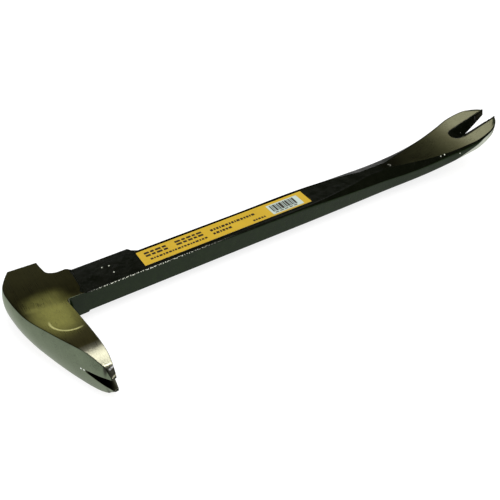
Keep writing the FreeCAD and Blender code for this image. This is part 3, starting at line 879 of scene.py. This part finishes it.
# ---------------------------------------------------------------- build

def settle(thing, slot, *nodes):
    """Rides a finished piece on the bar in place of the CAD nodes it stands for."""
    even_normals(thing)
    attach(thing, "root")
    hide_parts(*nodes)


steel = ground_steel()
head = mesh_object("bar_steel", [half_head(1.0), half_head(-1.0)], [steel])
join_solid(head, mesh_object("shank", steel_shank(), [steel]))
settle(head, "forged_steel", "forged_bar")
coat = mesh_object("bar_enamel", enamel_parts(), [black_enamel()])
settle(coat, "black_enamel", "enamel_coat")

ink = printed("dark ink", (0.010, 0.007, 0.004), (0.03, 0.02, 0.01), 0.4)
print_low, print_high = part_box("label_print")
print_z = np.array([print_low.z, print_high.z]) / MM - ORIGIN[2]
settle(mesh_object("bar_print", [greeked_print(*print_z)], [ink]), "dark_ink", "label_print")
white = printed("white ink", (0.38, 0.46, 0.42), (0.46, 0.54, 0.50), 0.5)
for node, material in (("label_adhesive", white), ("label_film", yellow_film()),
                       ("barcode_patch", white), ("barcode_bars", ink)):
    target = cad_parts[node]
    target.data.materials.clear()
    target.data.materials.append(material)


# ---------------------------------------------------------------- stage

# Name, the place each box shines at, its azimuth and elevation, distance and size in metres,
# and glow
CLAW = (23.0, -52.0, 10.0)
SOFTBOXES = [("over claw", CLAW, 139.0, 74.0, 0.45, (0.24, 0.24), 3.0),
             ("tip glint", CLAW, 27.0, 67.0, 0.45, (0.09, 0.09), 14.0),
             ("front key", (80.0, -7.8, 5.5), 26.0, 45.0, 0.6, (0.14, 0.14), 7.0),
             ("behind head", (17.0, -20.0, 8.5), 168.0, 28.5, 1.2, (0.34, 0.38), 0.95),
             ("over tail", (290.0, 0.0, 13.0), 144.0, 49.0, 1.0, (0.28, 0.28), 1.3)]
FILL_AZIMUTHS = (20.0, 110.0, 200.0, 290.0)
FILL_SPREAD = 80.0
BAR_MIDDLE = (150, 0, 0)
LOOK_AT = (118.4, -16.52, 0.0)
CAMERA_AZIMUTH = -32.41
CAMERA_ELEVATION = 39.81
CAMERA_DISTANCE = 0.35885
CAMERA_LENS = 50.43
FLOOR_SIZE = 12.0


def placed(x, y, z):
    """A drawing place in millimetres as a place in the scene."""
    return Vector((np.array([x, y, z]) + ORIGIN) * MM)


def direction(azimuth, elevation):
    """Unit vector towards a compass angle, with zero at -Y, and a height angle."""
    a, e = math.radians(azimuth), math.radians(elevation)
    return Vector((math.sin(a) * math.cos(e), -math.cos(a) * math.cos(e), math.sin(e)))


def aim(thing, target, azimuth, elevation, distance):
    thing.location = target + direction(azimuth, elevation) * distance
    thing.rotation_euler = direction(azimuth, elevation).to_track_quat("Z", "Y").to_euler()
    bpy.context.scene.collection.objects.link(thing)


def softbox(name, target, azimuth, elevation, distance, size, glow):
    light = bpy.data.lights.new(name, "AREA")
    light.shape = "RECTANGLE"
    light.size, light.size_y = size
    light.energy = glow * math.pi * size[0] * size[1]
    aim(bpy.data.objects.new(name, light), target, azimuth, elevation, distance)


def fill(name, azimuth, elevation, strength):
    sun = bpy.data.lights.new(name, "SUN")
    sun.energy = strength
    sun.angle = math.radians(FILL_SPREAD)
    thing = bpy.data.objects.new(name, sun)
    thing.visible_glossy = False
    aim(thing, placed(*BAR_MIDDLE), azimuth, elevation, 2.0)


def pale_floor():
    """A white light table, which leaves only a faint shadow."""
    material = bpy.data.materials.new("pale floor")
    material.use_nodes = True
    shader = material.node_tree.nodes["Principled BSDF"]
    shader.inputs["Base Color"].default_value = (0.3, 0.3, 0.3, 1.0)
    shader.inputs["Roughness"].default_value = 0.8
    shader.inputs["Specular IOR Level"].default_value = 0.2
    shader.inputs["Emission Color"].default_value = (1.0, 1.0, 1.0, 1.0)
    shader.inputs["Emission Strength"].default_value = 0.8
    return material


def studio_sky():
    """White to the camera; otherwise white at the horizon and nearly black just above it."""
    world = bpy.data.worlds.new("studio")
    bpy.context.scene.world = world
    world.use_nodes = True
    nodes, links = world.node_tree.nodes, world.node_tree.links
    coordinates = nodes.new("ShaderNodeTexCoord")
    split = nodes.new("ShaderNodeSeparateXYZ")
    ramp = nodes.new("ShaderNodeValToRGB")
    links.new(coordinates.outputs["Generated"], split.inputs[0])
    links.new(split.outputs["Z"], ramp.inputs[0])
    backdrop = nodes.new("ShaderNodeMix")
    backdrop.data_type = "RGBA"
    backdrop.inputs["B"].default_value = (1.0, 1.0, 1.0, 1.0)
    links.new(nodes.new("ShaderNodeLightPath").outputs["Is Camera Ray"], backdrop.inputs["Factor"])
    links.new(ramp.outputs[0], backdrop.inputs["A"])
    links.new(backdrop.outputs["Result"], nodes["Background"].inputs["Color"])
    ramp.color_ramp.elements[0].position = 0.0
    ramp.color_ramp.elements[0].color = (1.0, 1.0, 1.0, 1.0)
    ramp.color_ramp.elements[1].position = 0.035
    ramp.color_ramp.elements[1].color = (0.05, 0.05, 0.045, 1.0)


def place_camera():
    camera = bpy.data.cameras.new("camera")
    camera.lens = CAMERA_LENS
    camera.sensor_width = 36.0
    camera.clip_start = 0.01
    camera_object = bpy.data.objects.new("camera", camera)
    aim(camera_object, placed(*LOOK_AT), CAMERA_AZIMUTH, CAMERA_ELEVATION, CAMERA_DISTANCE)
    bpy.context.scene.camera = camera_object


def stage():
    """A white table, the sky, soft light from all round, the softboxes and the camera."""
    bpy.ops.mesh.primitive_grid_add(x_subdivisions=8, y_subdivisions=8, size=FLOOR_SIZE)
    floor = bpy.context.object
    floor.name = "floor"
    floor.data.materials.append(pale_floor())
    studio_sky()
    fill("fill top", 0.0, 90.0, 0.9)
    for number, azimuth in enumerate(FILL_AZIMUTHS):
        fill(f"fill {number}", azimuth, 40.0, 0.7)
    for name, place, *setting in SOFTBOXES:
        softbox(name, placed(*place), *setting)
    place_camera()
    bpy.context.scene.view_settings.view_transform = "Standard"


stage()
bpy.context.view_layer.update()
